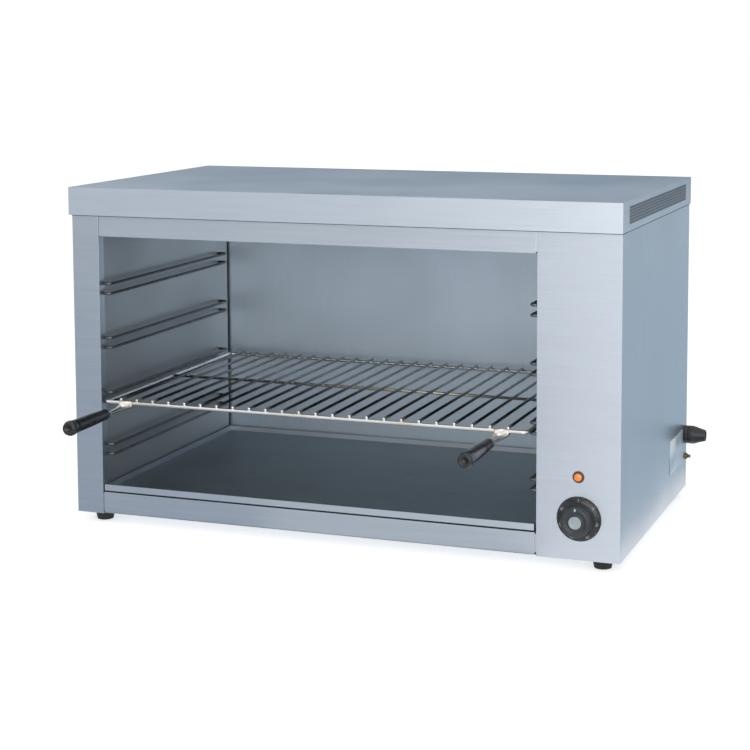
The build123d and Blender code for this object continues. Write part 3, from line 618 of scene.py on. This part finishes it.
# ---- controls ---------------------------------------------------------------------------
NUMBER_RADIUS, NUMBER_STEP, INK_HEIGHT = 25.2 * MM, 50, 0.06 * MM
TICK_COUNT, TICK_INNER, TICK_OUTER = 12, 27.2 * MM, 28.2 * MM
SHORT_TICK_INNER = TICK_INNER + 0.35 * (TICK_OUTER - TICK_INNER)
TICK_WIDTH, TICK_HEIGHT = 0.5 * MM, 0.12 * MM
POINTER_RADIUS, POINTER_SIZE, POINTER_EDGE = 16.9 * MM, (2.0 * MM, 0.3 * MM, 3.6 * MM), 0.1 * MM
CAP_RADIUS, CAP_THICKNESS, CAP_EDGE, CAP_SINK = 8.4 * MM, 0.5 * MM, 0.2 * MM, 0.15 * MM


def dial_ticks(centre, sweep, front):
    """Raised ticks round the dial, longer at the numbers."""
    bm = bmesh.new()
    for k in range(TICK_COUNT + 1):
        turn = math.radians(sweep * k / TICK_COUNT)
        inner = TICK_INNER if k % 2 == 0 else SHORT_TICK_INNER
        size = Matrix.Diagonal((TICK_WIDTH, TICK_HEIGHT, TICK_OUTER - inner, 1))
        offset = Matrix.Translation((0, 0, (inner + TICK_OUTER) / 2))
        spin = Matrix.Rotation(turn, 4, "Y")
        where = Matrix.Translation((centre.x, front, centre.z))
        bmesh.ops.create_cube(bm, size=1.0, matrix=where @ spin @ offset @ size)
    return bm


def dial_numbers(centre, height, front, top_number):
    """The dial's numbers, upright along the radius, as one mesh."""
    bm = bmesh.new()
    for number in range(0, top_number + 1, NUMBER_STEP):
        text = bpy.data.curves.new(f"number_{number}", "FONT")
        text.body = str(number)
        text.size = height
        text.align_x, text.align_y = "CENTER", "CENTER"
        text.extrude = INK_HEIGHT
        text.resolution_u = 3
        carrier = bpy.data.objects.new(text.name, text)
        mesh = bpy.data.meshes.new_from_object(carrier)
        stand = Matrix.Rotation(math.pi / 2, 4, "X")
        spin = Matrix.Rotation(math.radians(number), 4, "Y")
        offset = Matrix.Translation((0, 0, NUMBER_RADIUS))
        mesh.transform(Matrix.Translation((centre.x, front, centre.z)) @ spin @ offset @ stand)
        bm.from_mesh(mesh)
        bpy.data.objects.remove(carrier)
    return bm


def disc(centre, radius, front, thickness, edge):
    """A thin round plate with a rounded rim, facing the front."""
    bm = bmesh.new()
    profile = [(0, 0), (radius - edge, 0), (radius - 0.3 * edge, 0.3 * edge), (radius, edge),
               (radius, thickness)]
    verts = [bm.verts.new((centre.x + r, front + y, centre.z)) for r, y in profile]
    edges = [bm.edges.new(pair) for pair in zip(verts, verts[1:])]
    bmesh.ops.spin(bm, geom=verts + edges, cent=centre, axis=(0, 1, 0), angle=2 * math.pi,
                   steps=48, use_merge=True)
    bmesh.ops.remove_doubles(bm, verts=bm.verts, dist=0.001 * MM)
    return bm


class MELTER_OT_controls(bpy.types.Operator):
    """Finish the dial, knob and indicator, and add numbers, ticks, pointer and cap"""
    bl_idname = "melter.controls"
    bl_label = "Controls"

    def execute(self, context):
        wanted = context.scene.melter_controls
        marks = printed_marks("dial_ink", tuple(wanted.marks))
        plate = moulded_plastic("dial_plastic", tuple(wanted.plate), 0.22)
        dress(["dial_bezel"], plate, smooth=30)
        knob = moulded_plastic("knob_plastic", tuple(wanted.knob), 0.34)
        dress(["control_knob"], knob, smooth=30)
        dress(["knob_shaft"], bare_metal("shaft_metal", (0.6, 0.6, 0.6), 0.3, 0.2))
        dress(["thermostat"], moulded_plastic("thermostat_case", (0.05, 0.05, 0.055), 0.5))
        dress(["capillary_bulb"], bare_metal("capillary_copper", (0.72, 0.42, 0.28), 0.3, 0.5))
        dress(["lamp_bezel"], moulded_plastic("lamp_ring", (0.10, 0.042, 0.02), 0.25))
        dress(["lamp_body"], moulded_plastic("lamp_case", (0.75, 0.75, 0.72), 0.5))
        dress(["lamp_lens"], indicator_lens("lamp_lens_orange", tuple(wanted.lens)))

        low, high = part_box("dial_bezel")
        centre = (low + high) / 2
        numbers = dial_numbers(centre, wanted.number_height, low.y - 0.02 * MM,
                               wanted.top_number)
        mesh_piece("dial_numbers", numbers, marks, "cabinet", 20)
        ticks = dial_ticks(centre, wanted.top_number, low.y)
        mesh_piece("dial_ticks", ticks, marks, "cabinet", 20)

        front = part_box("control_knob")[0].y
        pointer = bmesh.new()
        where = Matrix.Translation((centre.x, front, centre.z + POINTER_RADIUS))
        size = Matrix.Diagonal((*POINTER_SIZE, 1))
        bmesh.ops.create_cube(pointer, size=1.0, matrix=where @ size)
        bmesh.ops.bevel(pointer, geom=pointer.edges[:], offset=POINTER_EDGE, segments=1)
        mesh_piece("knob_pointer", pointer, marks, "knob", 20)
        cap = disc(Vector((centre.x, 0, centre.z)), CAP_RADIUS, front + CAP_SINK,
                   CAP_THICKNESS, CAP_EDGE)
        mesh_piece("knob_cap", cap, moulded_plastic("cap_plastic", tuple(wanted.cap), 0.4),
                   "knob", 30)
        return {"FINISHED"}


# ---- mains entry, feet and screws -------------------------------------------------------
class MELTER_OT_fittings(bpy.types.Operator):
    """Finish the cable gland, bonding stud, blank plate, wiring and feet"""
    bl_idname = "melter.fittings"
    bl_label = "Fittings"

    def execute(self, context):
        gland = moulded_plastic("gland_nylon", (0.012, 0.012, 0.014), 0.34)
        dress(["gland_body", "gland_locknut", "gland_nut"], gland, 0.3 * MM)
        dress(["gland_seal"], rubber("seal_rubber", (0.015, 0.015, 0.015)))
        dress(["bonding_terminal"], bare_metal("stud_aged", (0.30, 0.20, 0.13), 0.35, 0.7))
        plate = brushed_steel("plate_matte", (0.56, 0.61, 0.66), 0.5,
                              (ALONG_Y, ALONG_X, ALONG_X), streaks=0.4, smudges=0.6)
        dress(["rating_plate"], plate)
        dress(["terminal_block"], moulded_plastic("block_cream", (0.72, 0.68, 0.56), 0.5))
        dress(["internal_leads"], rubber("lead_sleeve", (0.42, 0.06, 0.04)))
        feet = ["front_left_foot", "front_right_foot", "rear_left_foot", "rear_right_foot"]
        dress(feet, rubber("foot_rubber", (0.014, 0.014, 0.015)), 0.6 * MM)
        return {"FINISHED"}


# Outline of a screw's head, as shares of its radius and height, from seat to top.
HEAD_PROFILE = ((1.0, 0.0), (1.0, 0.35), (0.93, 0.68), (0.78, 0.9), (0.62, 1.0))
HEAD_STEPS = 24
CROSS_ARM, CROSS_HALF, CROSS_TAPER, CROSS_FLOOR = 0.46, 0.11, 0.8, 0.35
SHANK_R = 1.9 * MM
REAR_HEAD, KNOB_HEAD = (3.6 * MM, 1.3 * MM), (3.4 * MM, 1.6 * MM)      # radius and height

# Places in millimetres from the cover's left edge and the rear panel's lower edge.
SIDE_INSET, SIDE_SCREW_Z = 10, (40, 160, 280, 400)
COVER_SCREW_X, COVER_SCREW_Z = (90, 400, 710), 438
KNOB_SCREW_X = 14


def screw_ring(bm, move, radius, height):
    """A ring of points round a screw's axis."""
    turns = [2 * math.pi * k / HEAD_STEPS for k in range(HEAD_STEPS)]
    return [bm.verts.new(move @ Vector((radius * math.cos(turn), radius * math.sin(turn),
                                        height))) for turn in turns]


def band(bm, low, high):
    """Faces between two rings of as many points."""
    count = len(low)
    for k in range(count):
        following = (k + 1) % count
        bm.faces.new((low[k], low[following], high[following], high[k]))


def loop_edges(bm, ring):
    """Edges round a ring, made where they are missing."""
    edges = []
    for pair in zip(ring, ring[1:] + ring[:1]):
        edges.append(bm.edges.get(pair) or bm.edges.new(pair))
    return edges


def cross_head(bm, at, outward, head, shank):
    """A pan-head screw with a cross recess; at is the middle of its seat."""
    radius, height = head
    move = Matrix.Translation(at) @ outward.to_track_quat("Z", "Y").to_matrix().to_4x4()
    rings = [screw_ring(bm, move, r * radius, z * height) for r, z in HEAD_PROFILE]
    for low, high in zip(rings, rings[1:]):
        band(bm, low, high)
    arm, half = CROSS_ARM * radius, CROSS_HALF * radius
    outline = []
    for quarter in range(4):
        spin = Matrix.Rotation(quarter * math.pi / 2, 4, "Z")
        for point in ((arm, -half), (arm, half), (half, half)):
            outline.append(spin @ Vector((*point, 0)))
    top = [bm.verts.new(move @ (p + Vector((0, 0, height)))) for p in outline]
    sunk = Vector((0, 0, CROSS_FLOOR * height))
    floor = [bm.verts.new(move @ (p * CROSS_TAPER + sunk)) for p in outline]
    edges = loop_edges(bm, top) + loop_edges(bm, rings[-1])
    bmesh.ops.triangle_fill(bm, use_beauty=True, edges=edges)
    band(bm, top, floor)
    bm.faces.new(floor)
    seat = screw_ring(bm, move, SHANK_R, 0.0)
    tip = screw_ring(bm, move, SHANK_R, -shank)
    band(bm, seat, rings[0])
    band(bm, tip, seat)
    bm.faces.new(tip)


class MELTER_OT_screws(bpy.types.Operator):
    """Replace the plain screws with cross-head ones and finish the foot screws"""
    bl_idname = "melter.screws"
    bl_label = "Screws"

    def execute(self, context):
        metal = bare_metal("screw_metal", (0.62, 0.62, 0.63), 0.25, 0.4)
        dress(["foot_fasteners"], metal)
        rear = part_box("rear_panel")[1].y
        cover_low, cover_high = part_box("top_cover")
        inset = SIDE_INSET * MM
        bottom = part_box("rear_panel")[0].z
        bm = bmesh.new()
        backward, forward = Vector((0, 1, 0)), Vector((0, -1, 0))
        for x in (cover_low.x + inset, cover_high.x - inset):
            for z in SIDE_SCREW_Z:
                at = Vector((x, rear, bottom + z * MM))
                cross_head(bm, at, backward, REAR_HEAD, 6 * MM)
        for x in COVER_SCREW_X:
            at = Vector((cover_low.x + x * MM, cover_high.y, bottom + COVER_SCREW_Z * MM))
            cross_head(bm, at, backward, REAR_HEAD, 8 * MM)
        knob_low, knob_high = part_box("control_knob")
        knob = (knob_low + knob_high) / 2
        panel_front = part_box("control_panel")[0].y
        for side in (-1, 1):
            at = Vector((knob.x + side * KNOB_SCREW_X * MM, panel_front, knob.z))
            cross_head(bm, at, forward, KNOB_HEAD, 8 * MM)
        screws = mesh_piece("cross_head_screws", bm, metal, "cabinet", 35)
        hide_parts("panel_screws")
        return {"FINISHED"}


# ---- stage ------------------------------------------------------------------------------
CAMERA_AT = (0.89452, -2.37393, 0.69313)
CAMERA_YAW, CAMERA_PITCH, CAMERA_ROLL = 0.3513, 0.1013, 0.0033
CAMERA_SHIFT = (-0.0267, -0.2067)

# Corners of the cards: one stands behind, and the others lie on the floor at FLOOR_CARD_Z.
BACK_CARD = ((-4.5, 3.0, 0.25), (2.5, 3.0, 0.25), (2.5, 3.6, 2.6), (-4.5, 3.6, 2.6))
SIDE_CARD = ((0.42, -0.3), (3.0, -0.3), (4.0, 5.0), (-0.2, 5.0), (0.42, 0.4))
LEFT_CARD = ((-0.12, -0.14), (-6.0, -0.14), (-6.0, -6.0), (-2.80, -6.0))
MIDDLE_CARD = ((0.27, -0.14), (-0.12, -0.14), (-2.80, -6.0), (-0.95, -6.0))
FLOOR_CARD_Z = 0.004

FLOOR_SIZE, FLOOR_LIFT = 14.0, 0.55      # half width, and glow that brings the floor to white

# Each softbox: where it stands, where it points, its width and its height.
KEY_SOFTBOX = ((1.2, -2.6, 1.0), (0.1, 0.0, 0.2), 2.4, 2.0)
TOP_SOFTBOX = ((0.2, -0.4, 2.6), (0.0, 0.0, 0.25), 1.6, 1.6)


def aim(towards, at):
    """Matrix that stands at a point and looks with -Z towards another."""
    turn = (Vector(towards) - Vector(at)).to_track_quat("-Z", "Y").to_matrix().to_4x4()
    return Matrix.Translation(at) @ turn


def shown_white(tree):
    """1 for rays that show the background: camera, glossy and transmission rays."""
    path = add_node(tree, "ShaderNodeLightPath")
    seen = math_node(tree, "MAXIMUM", path.outputs["Is Camera Ray"], path.outputs["Is Glossy Ray"])
    return math_node(tree, "MAXIMUM", seen, path.outputs["Is Transmission Ray"])


def white_world(strength):
    """A world that lights softly and shows white."""
    world = bpy.data.worlds.new("studio")
    bpy.context.scene.world = world
    world.use_nodes = True
    tree = world.node_tree
    light = tree.nodes["Background"]
    light.inputs["Color"].default_value = (1, 1, 1, 1)
    world.cycles.sampling_method = "NONE"
    level = remap(tree, shown_white(tree), 0.0, 1.0, strength, 1.0)
    tree.links.new(level, light.inputs["Strength"])


def pale_floor(colour):
    """A wide pale floor that shows white and keeps the object's shadow."""
    bm = bmesh.new()
    bmesh.ops.create_grid(bm, x_segments=1, y_segments=1, size=FLOOR_SIZE)
    mesh = bpy.data.meshes.new("floor")
    bm.to_mesh(mesh)
    bm.free()
    floor = bpy.data.objects.new("floor", mesh)
    bpy.context.scene.collection.objects.link(floor)
    material, tree, main = new_material("pale_floor")
    main.inputs["Base Color"].default_value = (*colour, 1.0)
    main.inputs["Roughness"].default_value = 0.9
    main.inputs["Emission Color"].default_value = (1, 1, 1, 1)
    lift = math_node(tree, "MULTIPLY", shown_white(tree), FLOOR_LIFT)
    tree.links.new(lift, main.inputs["Emission Strength"])
    material.cycles.emission_sampling = "NONE"
    mesh.materials.append(material)


def grey_card(name, corners, colour):
    """A card that only reflections see: it darkens the metal as a studio flag does."""
    mesh = bpy.data.meshes.new(name)
    mesh.from_pydata(corners, [], [range(len(corners))])
    card = bpy.data.objects.new(name, mesh)
    bpy.context.scene.collection.objects.link(card)
    material, tree, main = new_material(name + "_paint")
    material.cycles.emission_sampling = "NONE"
    main.inputs["Base Color"].default_value = (0, 0, 0, 1)
    main.inputs["Roughness"].default_value = 1.0
    main.inputs["Specular IOR Level"].default_value = 0.0
    main.inputs["Emission Color"].default_value = (*colour, 1.0)
    main.inputs["Emission Strength"].default_value = 1.0
    mesh.materials.append(material)
    card.visible_camera = False
    card.visible_diffuse = False
    card.visible_shadow = False


def floor_card(name, outline, colour):
    """A card that lies on the floor."""
    grey_card(name, [(x, y, FLOOR_CARD_Z) for x, y in outline], colour)


def softbox(name, at, towards, width, height, power):
    """A wide soft white lamp that the camera doesn't see."""
    lamp = bpy.data.lights.new(name, "AREA")
    lamp.shape = "RECTANGLE"
    lamp.size, lamp.size_y = width, height
    lamp.energy = power
    carrier = bpy.data.objects.new(name, lamp)
    bpy.context.scene.collection.objects.link(carrier)
    carrier.matrix_world = aim(towards, at)
    carrier.visible_camera = False


def studio_camera(lens):
    """Camera at the photograph's viewpoint."""
    cy, sy = math.cos(CAMERA_YAW), math.sin(CAMERA_YAW)
    cp, sp = math.cos(CAMERA_PITCH), math.sin(CAMERA_PITCH)
    cr, sr = math.cos(CAMERA_ROLL), math.sin(CAMERA_ROLL)
    forward = Vector((-sy * cp, cy * cp, -sp))
    level = Vector((cy, sy, 0))
    down = forward.cross(level)
    right = cr * level + sr * down
    lower = -sr * level + cr * down
    data = bpy.data.cameras.new("camera")
    camera = bpy.data.objects.new("camera", data)
    bpy.context.scene.collection.objects.link(camera)
    turn = Matrix((right, -lower, -forward)).transposed().to_4x4()
    camera.matrix_world = Matrix.Translation(CAMERA_AT) @ turn
    data.lens = lens
    data.sensor_width = 36.0
    data.shift_x, data.shift_y = CAMERA_SHIFT
    data.clip_end = 60.0
    bpy.context.scene.camera = camera


class MELTER_OT_stage(bpy.types.Operator):
    """Build the floor, the cards, the softboxes, the world and the camera"""
    bl_idname = "melter.stage"
    bl_label = "Stage"

    def execute(self, context):
        stage = context.scene.melter_stage
        context.scene.view_settings.view_transform = "Standard"
        white_world(stage.ambient)
        pale_floor(tuple(stage.floor))
        grey_card("back_card", BACK_CARD, tuple(stage.back_card))
        floor_card("side_card", SIDE_CARD, tuple(stage.side_card))
        floor_card("left_card", LEFT_CARD, tuple(stage.left_card))
        floor_card("middle_card", MIDDLE_CARD, tuple(stage.middle_card))
        softbox("key_softbox", *KEY_SOFTBOX, stage.key)
        softbox("top_softbox", *TOP_SOFTBOX, stage.fill)
        studio_camera(stage.lens)
        return {"FINISHED"}


# ---- add-on -----------------------------------------------------------------------------
OPERATORS = (MELTER_OT_casing, MELTER_OT_cavity, MELTER_OT_rack, MELTER_OT_heating,
             MELTER_OT_controls, MELTER_OT_fittings, MELTER_OT_screws, MELTER_OT_stage)
GROUPS = (("melter_steel", MELTER_PG_steel), ("melter_rack", MELTER_PG_rack),
          ("melter_controls", MELTER_PG_controls), ("melter_stage", MELTER_PG_stage))


class MELTER_PT_panel(bpy.types.Panel):
    """Sidebar panel with the melter's settings and steps"""
    bl_idname = "MELTER_PT_panel"
    bl_label = "Cheese melter"
    bl_space_type = "VIEW_3D"
    bl_region_type = "UI"
    bl_category = "Melter"

    def draw(self, context):
        for attribute, group in GROUPS:
            box = self.layout.box()
            for name in group.__annotations__:
                box.prop(getattr(context.scene, attribute), name)
        for operator in OPERATORS:
            self.layout.operator(operator.bl_idname)


def register():
    for attribute, group in GROUPS:
        bpy.utils.register_class(group)
        setattr(bpy.types.Scene, attribute, PointerProperty(type=group))
    for known in (*OPERATORS, MELTER_PT_panel):
        bpy.utils.register_class(known)


def unregister():
    for known in reversed((*OPERATORS, MELTER_PT_panel)):
        bpy.utils.unregister_class(known)
    for attribute, group in reversed(GROUPS):
        delattr(bpy.types.Scene, attribute)
        bpy.utils.unregister_class(group)


def main():
    """Builds the looks."""
    register()
    run([operator.bl_idname.split(".")[1] for operator in OPERATORS])
    bpy.context.view_layer.update()


if __name__ == "__main__":
    main()
